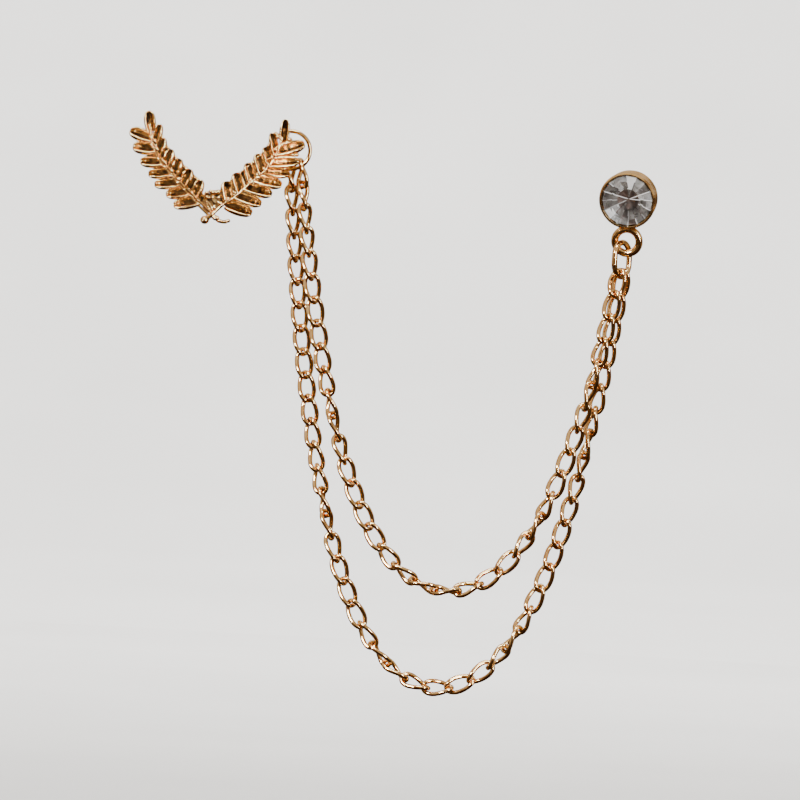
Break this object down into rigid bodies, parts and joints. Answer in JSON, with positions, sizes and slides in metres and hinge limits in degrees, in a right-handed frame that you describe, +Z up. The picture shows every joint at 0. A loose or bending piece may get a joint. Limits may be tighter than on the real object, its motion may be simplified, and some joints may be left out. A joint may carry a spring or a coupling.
{
  "type": "lapel_chain",
  "caption": "Rose-gold lapel chain: a V-shaped leaf spray and a round crystal stud joined by curb chains that hang in two swags.",
  "frame": {"origin": "where the leaf spray pins on the cloth, behind the crossing of its stems", "axes": "+X from the leaf spray towards the stud, +Y into the cloth, +Z up; the front faces -Y"},
  "size_m": [0.085, 0.0149, 0.0911],
  "materials": {
    "cast_gold": "rose-gold plated casting, polished on the ridges",
    "wire_gold": "rose-gold plated wire, polished",
    "pin_metal": "rose-gold plated, plain",
    "cut_glass": "cut and polished, foiled back"
  },
  "bodies": {
    "root": {"laurel_spray": "cast_gold", "laurel_pin": "pin_metal", "jump_ring": "wire_gold", "outer_chain": "wire_gold", "inner_chain": "wire_gold", "stud_ring": "wire_gold", "stud_cup": "cast_gold", "crystal": "cut_glass", "stud_pin": "pin_metal"}
  },
  "joints": []
}
